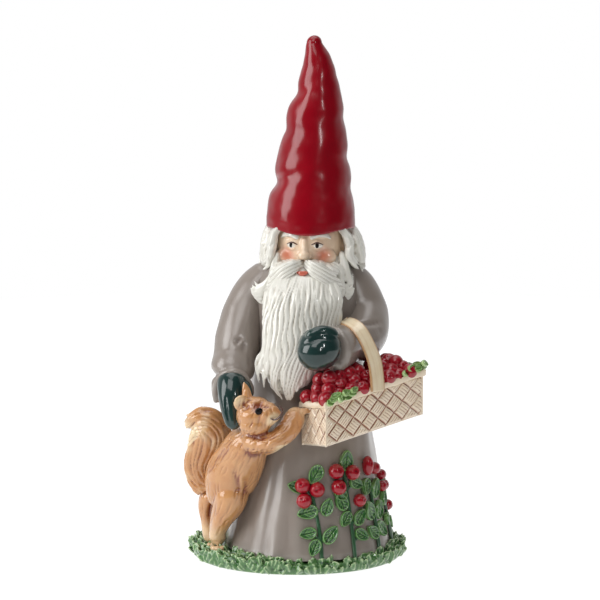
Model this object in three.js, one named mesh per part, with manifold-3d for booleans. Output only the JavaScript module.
// A garden gnome in glazed earthenware, with a squirrel and a basket of lingonberries.
//
// The figure is cast and pressed in separate parts that are luted together with slip, so each part
// is one closed solid with a thin slip joint to its neighbours. A part is built whole first, and is
// then cut back from the parts that it is pressed against.
//
// Millimetres, +Z up. While the figure is built, x = y = 0 is the coat's axis and z = 0 the table;
// x runs to the viewer's right and y away from the viewer.

import * as THREE from 'three';
import { LoftGeometry } from 'three/addons/geometries/LoftGeometry.js';
import { mergeVertices } from 'three/addons/utils/BufferGeometryUtils.js';
import Module from 'manifold-3d';

const wasm = await Module();
wasm.setup();
const { Manifold, Mesh: SolidMesh } = wasm;

// ---- Sizes ------------------------------------------------------------------------------------

const slipJoint = 0.3; // left open between two luted parts
const moundHalfWidth = 58;
const moundHalfDepth = 48;
const moundHeight = 7;
const moundShift = -5.5; // the mound reaches further under the squirrel
const ventRadius = 9; // under the mound, on the coat's axis

const castWall = 4;
const coatHeight = 150;
const hemRadius = 43.5;
const waistHalfWidth = 29;
const waistHalfDepth = 26;
const neckRadius = 14;
const airHoleRadius = 7; // pierced between the hollow parts, so that air leaves them in the kiln
const skirtFold = 0.9; // height of the soft folds at the hem

const headHalfWidth = 18;
const headHalfDepth = 19;
const headHalfHeight = 22;
const noseRadius = 4;

const hatWall = 3;
const hatRadius = 22.3;
const hatHeight = 98.5;
const hatSway = 1.8; // sideways wander of the hat's bulges

const sleeveRadius = 12;
const cuffRadius = 10;
const handRadius = 10.5;

const squirrelReach = 75.18; // height over the mound of its near paw, as modelled
const basketLength = 56;
const basketWidth = 30;
const basketHeight = 23;
const basketTurn = THREE.MathUtils.degToRad(25);
const basketTilt = THREE.MathUtils.degToRad(15); // it hangs with its right end up
const basketWall = 2;
const rimHeight = 3.2;
const rimProud = 0.7;
const strapWidth = 5.4;
const strapThickness = 1.9;
const basketBerryRadius = 3.4;

const sprigBerryRadius = 3.9;
const leafLength = 8.5;
const leafWidth = 5.6;
const leafThickness = 1.7;
const stemRadius = 1.2;

// ---- Levels and places that follow from the sizes ---------------------------------------------

const hemLevel = moundHeight + slipJoint;
const collarLevel = hemLevel + coatHeight;
const shoulderLevel = collarLevel - 8;
const headLevel = collarLevel + headHalfHeight * 0.32;
const hatLevel = collarLevel + headHalfHeight * 0.64;
const headX = 0.6;

/** Half width and half depth of the coat at a height. */
function coatAt(z) {
  const f = THREE.MathUtils.clamp((z - hemLevel) / coatHeight, 0, 1);
  const flare = Math.max(0, 1 - f / 0.65) ** 1.35;
  const close = Math.max(0, (f - 0.8) / 0.2);
  const keep = Math.sqrt(Math.max(0, 1 - close ** 2.2));
  const halfWidth = THREE.MathUtils.lerp(waistHalfWidth, hemRadius, flare);
  const halfDepth = THREE.MathUtils.lerp(waistHalfDepth, hemRadius, flare);
  return {
    halfWidth: THREE.MathUtils.lerp(neckRadius, halfWidth, keep),
    halfDepth: THREE.MathUtils.lerp(neckRadius, halfDepth, keep),
  };
}

/** Angle from straight ahead of a spot that lies a distance round the coat from a given angle. */
function roundCoat(degrees, distance, z) {
  return THREE.MathUtils.degToRad(degrees) + distance / coatAt(z).halfWidth;
}

/** Point on the coat at an angle from straight ahead, moved outwards by out. */
function onCoat(angle, z, out = 0) {
  const { halfWidth, halfDepth } = coatAt(z);
  return new THREE.Vector3(
    (halfWidth + out) * Math.sin(angle), -(halfDepth + out) * Math.cos(angle), z);
}

// ---- Shapes -----------------------------------------------------------------------------------

/** Oval ring of points around a centre, in the plane of two directions. */
function ring(centre, sideways, upwards, halfWidth, halfHeight, count, ripple = () => 1) {
  const points = [];
  for (let i = 0; i < count; i++) {
    const angle = (i / count) * 2 * Math.PI;
    const swell = ripple(angle);
    points.push(centre.clone()
      .addScaledVector(sideways, Math.cos(angle) * halfWidth * swell)
      .addScaledVector(upwards, Math.sin(angle) * halfHeight * swell));
  }
  return points;
}

/**
 * Body swept along a smooth path. Each station is [x, y, z, halfWidth, halfHeight]; the width lies
 * across the path and square to `up`. Rounded ends are added where `round` asks for them.
 */
function limb(stations, { around = 10, steps = 7, up = [0, 0, 1], round = 'both' } = {}) {
  const path = new THREE.CatmullRomCurve3(stations.map(([x, y, z]) => new THREE.Vector3(x, y, z)));
  const girth = new THREE.CatmullRomCurve3(
    stations.map(([, , , width, height = width]) => new THREE.Vector3(width, height, 0)));
  const upwards = new THREE.Vector3(...up);
  const section = (t, reach, shrink) => {
    const tangent = path.getTangent(t);
    const across = new THREE.Vector3().crossVectors(upwards, tangent).normalize();
    const over = new THREE.Vector3().crossVectors(tangent, across);
    const { x: width, y: height } = girth.getPoint(t);
    const centre = path.getPoint(t).addScaledVector(tangent, reach * Math.min(width, height));
    return ring(centre, across, over, width * shrink, height * shrink, around);
  };
  const sections = [];
  const capAngles = [78, 50, 25].map(THREE.MathUtils.degToRad);
  if (round === 'both' || round === 'start') {
    capAngles.forEach((a) => sections.push(section(0, -Math.sin(a), Math.cos(a))));
  }
  for (let i = 0; i <= steps; i++) {
    sections.push(section(i / steps, 0, 1));
  }
  if (round === 'both' || round === 'end') {
    [...capAngles].reverse().forEach((a) => sections.push(section(1, Math.sin(a), Math.cos(a))));
  }
  return new LoftGeometry(sections, { capStart: true, capEnd: true });
}

/** Ball stretched to three half sizes, turned about z, y and x, and moved to its centre. */
function egg(centre, halves, { turn = [0, 0, 0], around = 12, high = 8 } = {}) {
  const geometry = new THREE.SphereGeometry(1, around, high);
  geometry.rotateX(Math.PI / 2);
  geometry.scale(...halves);
  const euler = new THREE.Euler(...turn.map(THREE.MathUtils.degToRad), 'ZYX');
  geometry.applyMatrix4(new THREE.Matrix4().makeRotationFromEuler(euler));
  geometry.translate(...centre);
  return geometry;
}

// ---- Solids -----------------------------------------------------------------------------------

/** Closed solid of a geometry. */
function solidOf(geometry) {
  const bare = new THREE.BufferGeometry();
  bare.setAttribute('position', geometry.attributes.position.clone());
  bare.setIndex(geometry.index);
  const merged = mergeVertices(bare, 1e-4);
  return new Manifold(new SolidMesh({
    numProp: 3,
    vertProperties: new Float32Array(merged.attributes.position.array),
    triVerts: new Uint32Array(merged.index.array),
  }));
}

/** Upright round bar between two heights, for air holes and the neck. */
function upright(radius, x, from, to, around = 12) {
  const bar = new THREE.CylinderGeometry(radius, radius, to - from, around);
  bar.rotateX(Math.PI / 2);
  bar.translate(x, 0, (from + to) / 2);
  return solidOf(bar);
}

/** Geometry of a solid. */
function geometryOf(solid) {
  const mesh = solid.getMesh();
  const geometry = new THREE.BufferGeometry();
  geometry.setAttribute('position', new THREE.BufferAttribute(new Float32Array(mesh.vertProperties), 3));
  geometry.setIndex(new THREE.BufferAttribute(new Uint32Array(mesh.triVerts), 1));
  geometry.computeVertexNormals();
  return geometry;
}

/** The same solid with each of its faces moved outwards by a slip joint. */
function swollen(solid) {
  const geometry = geometryOf(solid);
  const { position, normal } = geometry.attributes;
  const corners = Array.from(position.array.keys().take(position.count),
    (i) => new THREE.Vector3().fromBufferAttribute(position, i));
  const outwards = corners.map((_, i) => new THREE.Vector3().fromBufferAttribute(normal, i));
  const leastFacing = corners.map(() => 1);
  const index = geometry.index.array;
  for (let i = 0; i < index.length; i += 3) {
    const face = [index[i], index[i + 1], index[i + 2]];
    const facing = new THREE.Triangle(...face.map((v) => corners[v])).getNormal(new THREE.Vector3());
    face.forEach((v) => {
      leastFacing[v] = Math.min(leastFacing[v], Math.max(outwards[v].dot(facing), 0.4));
    });
  }
  corners.forEach((corner, i) => {
    corner.addScaledVector(outwards[i], slipJoint / leastFacing[i]);
    position.setXYZ(i, ...corner);
  });
  return solidOf(geometry);
}

/** The largest single body of a solid. */
function mainBody(solid) {
  const bodies = solid.decompose();
  return bodies.reduce((best, body) => (body.volume() > best.volume() ? body : best));
}

const swollenByName = new Map();
const parts = new Map();

/** Keeps a part, cut back from the named parts that it is pressed against. */
function addPart(name, shape, glaze, pressedAgainst = [], hollow = null) {
  const whole = shape instanceof Manifold ? shape : solidOf(shape);
  swollenByName.set(name, swollen(whole));
  const cutters = pressedAgainst.map((other) => swollenByName.get(other));
  if (hollow) {
    cutters.push(hollow);
  }
  const cut = cutters.length ? whole.subtract(Manifold.union(cutters)) : whole;
  parts.set(name, { solid: mainBody(cut).simplify(slipJoint / 6), glaze });
}

// ---- Glazes -----------------------------------------------------------------------------------

const glazes = {
  grass: { color: 0x4e7a45, roughness: 0.25 },
  coat: { color: 0x857b74, roughness: 0.15 },
  skin: { color: 0xe8cdb0, roughness: 0.2 },
  hat: { color: 0x9a0d20, roughness: 0.1 },
  hair: { color: 0xe4e2d8, roughness: 0.25 },
  mitten: { color: 0x24423f, roughness: 0.12 },
  basket: { color: 0xe3d3ba, roughness: 0.3 },
  strap: { color: 0xdcc6a2, roughness: 0.3 },
  berry: { color: 0xb00f22, roughness: 0.1 },
  leaf: { color: 0x3f7a2c, roughness: 0.2 },
  fur: { color: 0xcfa06c, roughness: 0.25 },
};

// ---- Ground and coat --------------------------------------------------------------------------

function makeMound() {
  const edge = [[0, 0], [0.965, 0], [1, 0.3], [0.985, 0.7], [0.93, 0.94], [0.84, 1], [0, 1]];
  const profile = edge.map(([r, h]) => new THREE.Vector2(r, h * moundHeight));
  const geometry = new THREE.LatheGeometry(profile, 32);
  geometry.rotateX(Math.PI / 2);
  geometry.scale(moundHalfWidth, moundHalfDepth, 1);
  geometry.translate(moundShift, 0, 0);
  addPart('grass_mound', geometry, 'grass', [], upright(ventRadius, 0, -moundHeight, 2 * moundHeight, 16));
}

function makeCoat() {
  const folds = 9;
  const levels = [0, 0.12, 0.26, 0.42, 0.62, 0.82, 0.91, 0.96, 1];
  const shell = (inset, lowest) => {
    const sections = levels.map((f) => {
      const z = hemLevel + f * (coatHeight - inset) - (f === 0 ? lowest : 0);
      const { halfWidth, halfDepth } = coatAt(z + inset * f);
      const fold = inset ? 0 : (skirtFold * Math.max(0, 1 - f / 0.6)) / hemRadius;
      const ripple = (angle) => 1 + fold * Math.cos(folds * angle + 1.3);
      const centre = new THREE.Vector3(0, 0, z);
      const sideways = new THREE.Vector3(1, 0, 0);
      const away = new THREE.Vector3(0, 1, 0);
      return ring(centre, sideways, away, halfWidth - inset, halfDepth - inset, inset ? 18 : 28, ripple);
    });
    return new LoftGeometry(sections, { capStart: true, capEnd: true });
  };
  const neckHole = upright(airHoleRadius, 0, collarLevel - 2 * castWall, collarLevel + castWall);
  addPart('coat', shell(0, 0), 'coat', [], solidOf(shell(castWall, castWall)).add(neckHole));
}

// ---- Head, hat and hair -----------------------------------------------------------------------

function makeHead() {
  const centre = [headX, 0, headLevel];
  const halves = [headHalfWidth, headHalfDepth, headHalfHeight];
  const skull = egg(centre, halves, { around: 16, high: 10 });
  const neck = upright(neckRadius - 1, headX, headLevel - headHalfHeight, headLevel, 16);
  const noseAt = [headX - 2.4, -headHalfDepth - noseRadius * 0.3, headLevel - headHalfHeight * 0.12];
  const nose = egg(noseAt, [noseRadius * 0.9, noseRadius, noseRadius * 0.85], { around: 8, high: 6 });
  const hollow = egg(centre, halves.map((half) => half - castWall), { around: 10, high: 6 });
  const beyond = 2 * headHalfHeight;
  const airHoles = upright(airHoleRadius, headX, headLevel - beyond, headLevel + beyond);
  addPart('head', Manifold.union([solidOf(skull), neck, solidOf(nose)]), 'skin', ['coat'],
    solidOf(hollow).add(airHoles));
}

function makeHat() {
  // Share of the height and of the rim's radius, and the side that the bulge leans to.
  const bulges = [
    [0, 1, 0.9], [0.07, 1.02, 0.8], [0.15, 0.92, 0.6], [0.2, 0.83, 0.5], [0.25, 0.76, 1.8],
    [0.34, 0.74, 1.1], [0.4, 0.7, 1.9], [0.46, 0.67, 2.3], [0.53, 0.6, 2.6], [0.6, 0.58, 2],
    [0.67, 0.54, 2.4], [0.72, 0.43, 3.2], [0.79, 0.38, 2.8], [0.86, 0.35, 2.9], [0.92, 0.28, 3],
    [0.965, 0.17, 2.6], [1, 0.06, 2.1],
  ];
  const shell = (inset, low, high) => {
    const kept = bulges.filter(([f], i) => f >= low && f <= high && !(inset && i % 2));
    const sections = kept.map(([f, share, lean]) => {
      const z = hatLevel + hatHeight * f - (inset && f === 0 ? hatWall : 0);
      const centre = new THREE.Vector3(headX + hatSway * lean - hatSway, 0.6, z);
      const radius = hatRadius * share - inset;
      const dent = (angle) => 1 + 0.025 * Math.sin(3 * angle + 9 * f);
      return ring(centre, new THREE.Vector3(1, 0, 0), new THREE.Vector3(0, 1, 0),
        radius, radius * 0.98, inset ? 12 : 18, dent);
    });
    return solidOf(new LoftGeometry(sections, { capStart: true, capEnd: true }));
  };
  addPart('hat', shell(0, 0, 1), 'hat', ['head'], shell(hatWall, 0, 0.86));
}

function makeHair() {
  for (const [name, side] of [['hair_left', -1], ['hair_right', 1]]) {
    const x = headX + side * headHalfWidth;
    const locks = limb([
      [x - side * 1.5, -3, hatLevel + 1, 5, 9],
      [x + side * 3, -3, headLevel, 6.5, 11],
      [x + side * 5, -5, headLevel - 9, 7, 9],
      [x + side * 4, -8, headLevel - 17, 5, 5],
    ], { up: [0, 1, 0], around: 10, steps: 5 });
    addPart(name, locks, 'hair', ['head', 'hat', 'coat']);
  }
  const back = egg([headX, headHalfDepth * 0.6, headLevel - 3],
    [headHalfWidth * 1.12, headHalfDepth * 0.62, headHalfHeight * 0.72], { around: 12, high: 6 });
  addPart('hair_back', back, 'hair', ['head', 'hat', 'coat', 'hair_left', 'hair_right']);
}

/** Front of the coat at a height, moved forwards by out. */
function coatFront(z, out) {
  return -coatAt(z).halfDepth - out;
}

const beardTop = headLevel - headHalfHeight * 0.42;
const beardLength = 66;

function makeBeard() {
  // Share of the length from the lip, x, half width, half thickness, distance out from the coat.
  const lengths = [
    [0, 0, 15, 5, -1], [0.18, -1, 18.5, 8, 0], [0.4, -2.5, 19, 9, 1], [0.62, -5, 19, 8.5, 2],
    [0.8, -8, 16, 7.5, 2.5], [0.93, -10, 9.5, 5.5, 2.5], [1, -10.5, 3.5, 3, 2],
  ];
  const stations = lengths.map(([f, x, halfWidth, halfThickness, out]) => {
    const z = beardTop - beardLength * f;
    const y = f === 0 ? -headHalfDepth + 3 : coatFront(z, out);
    return [x, y, z, halfWidth, halfThickness];
  });
  const against = ['head', 'coat', 'hair_left', 'hair_right'];
  addPart('beard', limb(stations, { up: [0, -1, 0], around: 12, steps: 8 }), 'hair', against);
  for (const [name, side] of [['beard_curl_left', -1], ['beard_curl_right', 1]]) {
    const curl = limb([
      [headX + side * 13, -19, beardTop - 4, 3.4],
      [headX + side * 19, -20, beardTop - 9, 4],
      [headX + side * 24, -17, beardTop - 10, 3],
      [headX + side * 26.5, -15, beardTop - 7, 1.4],
    ], { up: [0, 1, 0], steps: 4, around: 8 });
    addPart(name, curl, 'hair', [...against, 'beard']);
  }
}

function makeFaceHair() {
  for (const [name, side] of [['left', -1], ['right', 1]]) {
    const lip = headLevel - headHalfHeight * 0.34;
    const half = limb([
      [headX + side * 1.6, -headHalfDepth - 2, lip + 1, 2.2],
      [headX + side * 7, -headHalfDepth - 3.5, lip - 1, 3.2],
      [headX + side * 13, -headHalfDepth - 1, lip - 4.5, 2.8],
      [headX + side * 17, -headHalfDepth + 2, lip - 8.5, 1.4],
    ], { up: [0, 1, 0], steps: 4, around: 8 });
    const against = ['head', 'beard', `beard_curl_${name}`, `hair_${name}`, 'coat'];
    const otherHalf = side > 0 ? ['moustache_left'] : [];
    addPart(`moustache_${name}`, half, 'hair', [...against, ...otherHalf]);
    const brow = limb([
      [headX - 1.5 + side * 3, -headHalfDepth, headLevel + 5, 1.1],
      [headX - 1.5 + side * 7, -headHalfDepth + 1.5, headLevel + 6.6, 1.5],
      [headX - 1.5 + side * 11.5, -headHalfDepth + 5, headLevel + 5, 1],
    ], { up: [0, 1, 0], steps: 4, around: 8 });
    addPart(`eyebrow_${name}`, brow, 'hair', ['head', 'hat', `hair_${name}`]);
  }
}

// ---- Squirrel's place and the hands' places -----------------------------------------------------

const squirrelAt = new THREE.Vector3(-hemRadius - 3.5, -14, moundHeight);
const leftHandLevel = shoulderLevel - 31;
const leftHandAt = new THREE.Vector3(waistHalfWidth - 23.5, coatFront(leftHandLevel, 23), leftHandLevel);
const basketCorner = leftHandAt.clone().add(new THREE.Vector3(2.7, -9, -26 - basketHeight));
const nearPaw = inBasket(-3.6, basketWidth - 4, basketHeight - 5).sub(squirrelAt);
// The squirrel grows with the height that it reaches up to, and the hand stays on its back.
const squirrelStretch = nearPaw.z / squirrelReach;
const rightHandAt = squirrelAt.clone().add(new THREE.Vector3(9, -14, 93 * squirrelStretch));

// ---- Arms -------------------------------------------------------------------------------------

function makeRightArm() {
  const x = -waistHalfWidth;
  const sleeve = limb([
    [x + 9, 1, shoulderLevel - 1, sleeveRadius - 3],
    [x + 1, 0, shoulderLevel - 10, sleeveRadius],
    [x - 5, -4, shoulderLevel - 22, sleeveRadius + 0.5],
    [x - 8, -13, (shoulderLevel - 36 + rightHandAt.z + 14) / 2, sleeveRadius],
    [rightHandAt.x - 0.5, rightHandAt.y + 7, rightHandAt.z + 3, cuffRadius],
  ], { up: [0, 1, 0], round: 'start', around: 10, steps: 8 });
  addPart('right_sleeve', sleeve, 'coat', ['coat', 'head', 'hair_left', 'beard', 'beard_curl_left']);
  const mitten = limb([
    [rightHandAt.x, rightHandAt.y + 4, rightHandAt.z + 1, 8, 6.5],
    [rightHandAt.x + 1, rightHandAt.y - 2, rightHandAt.z - 9, 8, 6],
    [rightHandAt.x + 2.5, rightHandAt.y - 6, rightHandAt.z - 18, 6.5, 5],
  ], { up: [0, 1, 0], around: 10, steps: 4 });
  const against = ['right_sleeve', 'beard', 'coat', ...squirrelFront];
  addPart('right_mitten', mitten, 'mitten', against);
  const thumb = limb([
    [rightHandAt.x + 6, rightHandAt.y + 1, rightHandAt.z - 2, 3.2],
    [rightHandAt.x + 9.5, rightHandAt.y - 3, rightHandAt.z - 7, 3.2],
    [rightHandAt.x + 10, rightHandAt.y - 6, rightHandAt.z - 12, 2.6],
  ], { up: [0, 1, 0], around: 8, steps: 4 });
  addPart('right_thumb', thumb, 'mitten', [...against, 'right_mitten']);
}

/** Middle of the left forearm, where the basket's strap goes over it. */
const forearmMiddle = new THREE.Vector3(waistHalfWidth - 7.5, leftHandAt.y + 19, leftHandAt.z + 2);

function makeLeftArm() {
  const x = waistHalfWidth;
  const sleeve = limb([
    [x - 9, 1, shoulderLevel - 1, sleeveRadius - 3],
    [x - 1, 0, shoulderLevel - 10, sleeveRadius],
    [x + 2.5, -5, shoulderLevel - 21, sleeveRadius + 0.5],
    [x + 1.5, -16, leftHandAt.z + 2, sleeveRadius],
    [forearmMiddle.x, forearmMiddle.y, forearmMiddle.z, cuffRadius + 0.5],
    [leftHandAt.x + 6.5, leftHandAt.y + 6, leftHandAt.z + 1.5, cuffRadius],
  ], { up: [0, 0, 1], round: 'start', around: 10, steps: 9 });
  addPart('left_sleeve', sleeve, 'coat', ['coat', 'head', 'hair_right', 'beard', 'beard_curl_right']);
  const fist = egg(leftHandAt.toArray(), [handRadius + 0.5, handRadius, handRadius], { around: 12, high: 8 });
  const against = ['left_sleeve', 'beard', 'coat'];
  addPart('left_mitten', fist, 'mitten', against);
  const thumb = limb([
    [leftHandAt.x - 4, leftHandAt.y - 4, leftHandAt.z + handRadius * 0.85, 2.6],
    [leftHandAt.x + 1, leftHandAt.y - 5, leftHandAt.z + handRadius, 3],
    [leftHandAt.x + 6, leftHandAt.y - 3, leftHandAt.z + handRadius * 0.85, 2.8],
  ], { around: 8, steps: 4 });
  addPart('left_thumb', thumb, 'mitten', [...against, 'left_mitten']);
}

// ---- Basket -----------------------------------------------------------------------------------

/** Point of the basket: along its long side, across it to the back, and up from its floor. */
function inBasket(along, across, up) {
  const long = new THREE.Vector3(Math.cos(basketTurn), Math.sin(basketTurn), 0);
  const short = new THREE.Vector3(-Math.sin(basketTurn), Math.cos(basketTurn), 0);
  const point = basketCorner.clone().addScaledVector(long, along).addScaledVector(short, across);
  point.z += up + (point.x - basketCorner.x) * Math.tan(basketTilt)
    - (point.y - basketCorner.y) * Math.tan(basketTilt) * 0.22;
  return point;
}

/** Box in the basket's own directions, from one corner to the other. */
function basketBox([a0, b0, c0], [a1, b1, c1]) {
  const box = new THREE.BoxGeometry(1, 1, 1);
  const position = box.attributes.position;
  for (let i = 0; i < position.count; i++) {
    const point = inBasket(
      position.getX(i) < 0 ? a0 : a1,
      position.getY(i) < 0 ? b0 : b1,
      position.getZ(i) < 0 ? c0 : c1);
    position.setXYZ(i, point.x, point.y, point.z);
  }
  return solidOf(box);
}

function makeBasket() {
  const against = ['coat', 'beard', 'left_sleeve', 'left_mitten'];
  const tubTop = basketHeight - rimHeight - slipJoint;
  const tub = basketBox([0, 0, 0], [basketLength, basketWidth, tubTop]);
  const inside = basketBox([basketWall, basketWall, basketWall],
    [basketLength - basketWall, basketWidth - basketWall, basketHeight * 2]);
  addPart('basket_tub', tub.subtract(inside), 'basket', against);
  const band = basketBox([-rimProud, -rimProud, basketHeight - rimHeight],
    [basketLength + rimProud, basketWidth + rimProud, basketHeight]);
  addPart('basket_rim', band.subtract(inside), 'basket', against);

  // The strap stands up from the rim's front, lies over the forearm and goes down behind it.
  const foot = inBasket(basketLength * 0.55, -rimProud - strapThickness, basketHeight - rimHeight);
  const back = inBasket(basketLength * 0.55, basketWidth, basketHeight);
  const over = cuffRadius + 0.5 + strapThickness / 2 + 2 * slipJoint;
  const along = inBasket(1, 0, 0).sub(inBasket(0, 0, 0)).normalize();
  const middle = forearmMiddle;
  const route = new THREE.CatmullRomCurve3([
    foot.clone(),
    foot.clone().lerp(middle, 0.4).add(new THREE.Vector3(1.5, -4.5, 1)),
    new THREE.Vector3(middle.x + 2.5, middle.y - over * 0.8, middle.z + over * 0.65),
    new THREE.Vector3(middle.x - 0.5, middle.y, middle.z + over),
    new THREE.Vector3(middle.x - 3, middle.y + over * 0.8, middle.z + over * 0.5),
    back.clone().lerp(middle, 0.5).add(new THREE.Vector3(-2, over * 0.5, 0)),
  ]);
  const sections = [];
  for (let i = 0; i <= 14; i++) {
    const tangent = route.getTangent(i / 14);
    const outwards = new THREE.Vector3().crossVectors(along, tangent).normalize();
    const across = new THREE.Vector3().crossVectors(outwards, tangent);
    const corner = (a, b) => route.getPoint(i / 14)
      .addScaledVector(across, a * strapWidth / 2)
      .addScaledVector(outwards, b * strapThickness / 2);
    sections.push([corner(-1, -1), corner(1, -1), corner(1, 1), corner(-1, 1)]);
  }
  const strap = new LoftGeometry(sections, { capStart: true, capEnd: true });
  addPart('basket_strap', strap, 'strap', [...against, 'basket_rim', 'basket_tub']);

  makeHeap('berries_left', 3.5, 27, against);
  makeHeap('berries_right', 36, 48, against);
  makeTuft('leaves_front', [[6, -1], [10.5, -1.4], [15, -1]], against, 'berries_left');
  makeTuft('leaves_back', [[53, 2.5], [55, 7], [54, 12]], against, 'berries_right');
}

/** Heap of berries between two places along the basket. */
function makeHeap(name, from, to, against) {
  const balls = [];
  const pitch = basketBerryRadius * 2;
  const columns = Math.round((to - from) / pitch);
  const rows = Math.floor((basketWidth - 2 * basketWall) / pitch);
  for (let i = 0; i <= columns; i++) {
    for (let j = 0; j < rows; j++) {
      const along = THREE.MathUtils.lerp(from, to, i / columns);
      const across = basketWall + basketBerryRadius + j * pitch;
      const arch = 3.5 * Math.sin(Math.PI * (j + 0.6) / rows) + 1.2 * Math.sin(2.1 * i + 1.7 * j);
      const ball = new THREE.IcosahedronGeometry(basketBerryRadius * 1.08, 0);
      ball.translate(...inBasket(along, across, basketHeight - 1 + arch));
      balls.push(solidOf(ball));
    }
  }
  const bed = basketBox(
    [from - 2, 2 * basketWall, basketHeight - 8],
    [to + 2, basketWidth - 2 * basketWall, basketHeight]);
  addPart(name, Manifold.union([bed, ...balls]), 'berry',
    [...against, 'basket_strap', 'basket_rim', 'basket_tub']);
}

/** Small leaves lying over the basket's rim. */
function makeTuft(name, spots, against, heap) {
  const leaves = spots.map(([along, across], i) => solidOf(egg(
    inBasket(along, across, basketHeight + 1.2).toArray(), [3.4, 2.4, 1.8],
    { turn: [20, 0, 35 * (i % 2)], around: 8, high: 4 })));
  addPart(name, Manifold.union(leaves), 'leaf',
    [...against, 'basket_rim', 'basket_tub', 'basket_strap', heap]);
}

// ---- Squirrel ---------------------------------------------------------------------------------

const squirrelFront = ['squirrel_torso', 'squirrel_head', 'squirrel_near_ear', 'squirrel_far_ear'];

/** Limb whose stations are given from the squirrel's place on the mound, at its modelled height. */
function furLimb(stations, options) {
  const { x: x0, y: y0, z: z0 } = squirrelAt;
  const placed = stations.map(([x, y, z, ...girth]) => [x + x0, y + y0, z * squirrelStretch + z0, ...girth]);
  return limb(placed, options);
}

function makeSquirrelBody() {
  const ground = ['coat', 'grass_mound'];
  addPart('squirrel_torso', furLimb([
    [4.5, -3, 27, 10.5], [8, -7, 37, 12], [12.5, -12, 48, 11], [16.5, -19, 59, 8.5], [19, -25, 67, 7],
  ], { up: [0, 1, 0], around: 12, steps: 6 }), 'fur', ground);
  addPart('squirrel_head', furLimb([
    [19.5, -26.5, 75, 9], [24, -30, 76.5, 9.3], [29, -33.5, 77.5, 6.5], [33, -36, 78.5, 3.4],
  ], { around: 12, steps: 4 }), 'fur', [...ground, 'beard', 'squirrel_torso']);
  const head = [...ground, 'squirrel_head', 'squirrel_torso'];
  addPart('squirrel_near_ear', furLimb([
    [18, -33, 79, 2.2, 2.6], [15, -31.5, 82.5, 3.2, 4], [13.5, -30, 85, 2.2, 3],
  ], { up: [0.5, 0, 1], around: 10, steps: 4 }), 'fur', head);
  addPart('squirrel_far_ear', furLimb([
    [20.5, -27.5, 83, 2.4], [20, -27, 87, 2.6], [18.5, -27, 91, 1.2],
  ], { up: [0, 1, 0], around: 8, steps: 4 }), 'fur', [...head, 'squirrel_near_ear', 'beard']);
}

function makeSquirrelLimbs() {
  const body = [
    'coat', 'grass_mound', 'squirrel_torso', 'squirrel_head', 'basket_tub', 'basket_rim', 'beard',
  ];
  const reach = new THREE.Vector3(nearPaw.x, nearPaw.y, squirrelReach);
  addPart('squirrel_near_arm', furLimb([
    [18, -27, 61, 6], [26, -33, 61.5, 5], [reach.x - 7.5, reach.y - 8, reach.z - 9, 4.6],
    [reach.x - 2, reach.y - 4, reach.z - 3, 4.4], [reach.x, reach.y, reach.z, 4.2],
  ], { up: [0, 1, 0], around: 8, steps: 7 }), 'fur', body);
  const farReach = inBasket(-5, basketWidth, basketHeight - 14).sub(squirrelAt);
  farReach.z /= squirrelStretch;
  addPart('squirrel_far_arm', furLimb([
    [20, -17, 57, 4.5], [28, -18, 57.5, 4], [farReach.x, farReach.y + 1, farReach.z, 3.4],
  ], { up: [0, 1, 0], around: 8, steps: 6 }), 'fur', [...body, 'squirrel_near_arm']);

  const nearLeg = ['coat', 'grass_mound', 'squirrel_torso'];
  addPart('squirrel_near_leg', furLimb([
    [9.5, -12, 27, 7.5], [9.5, -11.5, 18, 7], [5, -6, 10, 4.6], [3.5, -3.5, 4, 3.6], [5.5, -8, 1.5, 3],
  ], { up: [1, 0, 0], around: 8, steps: 7 }), 'fur', nearLeg);
  addPart('squirrel_far_leg', furLimb([
    [-1, 3, 25, 5.5], [-1.5, 5, 16, 4.6], [-2, 6, 6, 3.4], [-1.5, 2, 1.5, 3],
  ], { up: [1, 0, 0], around: 8, steps: 5 }), 'fur', [...nearLeg, 'squirrel_near_leg']);
  addPart('squirrel_tail', furLimb([
    [-4, 1, 31, 3.6], [-8, 4.5, 37, 4.6, 5], [-9, 6, 45, 6, 6.6], [-5, 5.5, 53, 8, 9],
    [-3, 4.5, 61, 8, 9.5], [-8, 4.5, 66.5, 6, 7], [-14, 5, 64, 3, 3.6],
  ], { up: [0, 1, 0], around: 10, steps: 9 }), 'fur',
    ['coat', 'squirrel_torso', 'squirrel_far_leg', 'squirrel_near_leg', 'right_sleeve', 'right_mitten']);
}

// ---- Sprigs on the coat -----------------------------------------------------------------------

const sprigParts = [];

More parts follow.
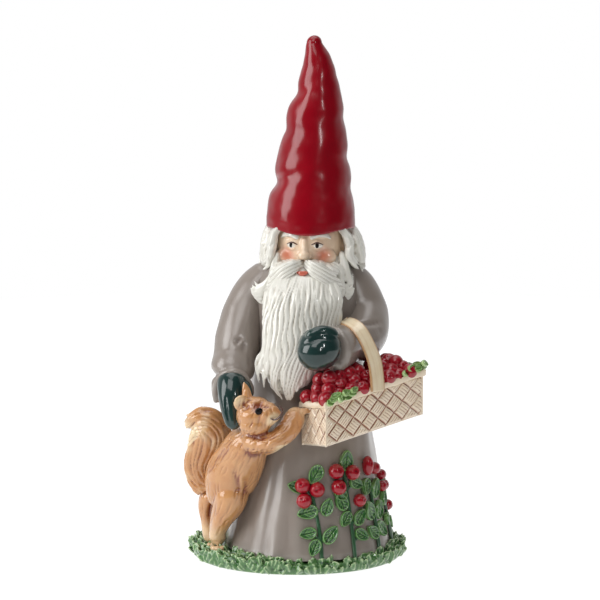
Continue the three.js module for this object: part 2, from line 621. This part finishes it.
/**
 * One stem with its leaves, and its berries, on the skirt at an angle from straight ahead. Leaves
 * and berries are given as [distance round the coat, height over the mound, turn or size].
 */
function makeSprig(letter, { degrees, height, bend, leaves, berries }) {
  const foot = moundHeight;
  const along = [0.04, 0.4, 0.75, 1];
  const stem = limb(along.map((f) => {
    const z = foot + height * f;
    return [...onCoat(roundCoat(degrees, bend * f * f, z), z, stemRadius * 0.4), stemRadius];
  }), { up: [0.3, 1, 0], around: 6, steps: 4 });
  const leaf = ([distance, up, turn]) => {
    const z = foot + up;
    const angle = roundCoat(degrees, distance, z);
    const blade = new THREE.SphereGeometry(1, 8, 4);
    blade.scale(leafLength / 2, leafThickness / 2, leafWidth / 2);
    blade.rotateY(-THREE.MathUtils.degToRad(turn));
    blade.rotateZ(angle);
    blade.translate(...onCoat(angle, z, leafThickness * 0.35));
    return solidOf(blade);
  };
  const stemName = `sprig_${letter}_stem`;
  addPart(stemName, Manifold.union([solidOf(stem), ...leaves.map(leaf)]), 'leaf',
    ['coat', 'grass_mound', ...sprigParts]);
  sprigParts.push(stemName);
  berries.forEach(([distance, up, share = 1], i) => {
    const z = foot + up;
    const radius = sprigBerryRadius * share;
    const centre = onCoat(roundCoat(degrees, distance, z), z, radius * 0.45);
    const ball = egg(centre.toArray(), [radius, radius, radius * 1.04], { around: 8, high: 6 });
    const name = `sprig_${letter}_berry_${i + 1}`;
    addPart(name, ball, 'berry', ['coat', 'grass_mound', ...sprigParts]);
    sprigParts.push(name);
  });
}

const sprigs = {
  a: {
    degrees: 9, height: 33, bend: -4,
    leaves: [[-2, 43, 70], [-6.5, 24.5, 0], [-6.5, 14, -10], [3, 27, 60], [4.5, 13, 55]],
    berries: [[-8.5, 38], [-8, 30.5], [-1.5, 36]],
  },
  b: {
    degrees: 33, height: 45, bend: -2,
    leaves: [[0, 49, 90], [-5, 29, 50], [-3.5, 19, -45], [4, 37, -15], [5, 20, 40], [5, 11, -50]],
    berries: [[-6.5, 44.5], [-6, 36.5], [2.5, 43], [5.5, 28.5, 0.85]],
  },
  c: {
    degrees: 57, height: 38, bend: 0,
    leaves: [[-4, 34, -60], [-4, 22, 60], [4, 32, 70], [4.5, 21, 60], [-4, 11, 50], [4, 11, -50]],
    berries: [[-1, 44.5, 1.05], [6, 41, 0.95]],
  },
  d: {
    degrees: 83, height: 34, bend: 0,
    leaves: [[-4, 25, -60], [4, 29, 60], [-4, 14, 40], [4, 10, -40]],
    berries: [[-4, 35, 0.9], [3.5, 37, 0.9], [-1, 42, 0.85], [5, 19, 0.8]],
  },
};

// ---- Assembly -----------------------------------------------------------------------------------

makeMound();
makeCoat();
makeHead();
makeHat();
makeHair();
makeBeard();
makeFaceHair();
makeSquirrelBody();
makeRightArm();
makeLeftArm();
makeBasket();
makeSquirrelLimbs();
for (const [letter, sprig] of Object.entries(sprigs)) {
  makeSprig(letter, sprig);
}

const figure = new THREE.Group();
for (const [name, { solid, glaze }] of parts) {
  const geometry = geometryOf(solid);
  geometry.computeBoundingBox();
  const seat = geometry.boundingBox.getCenter(new THREE.Vector3());
  geometry.translate(-seat.x, -seat.y, -seat.z);
  const mesh = new THREE.Mesh(geometry, new THREE.MeshStandardMaterial({ ...glazes[glaze], metalness: 0 }));
  mesh.name = name;
  mesh.position.copy(seat);
  figure.add(mesh);
}

// The part's origin is the middle of its whole outline, on the table.
const extent = new THREE.Box3().setFromObject(figure);
const outlineMiddle = extent.getCenter(new THREE.Vector3());
figure.position.set(-outlineMiddle.x, -outlineMiddle.y, -extent.min.z);

export default figure;
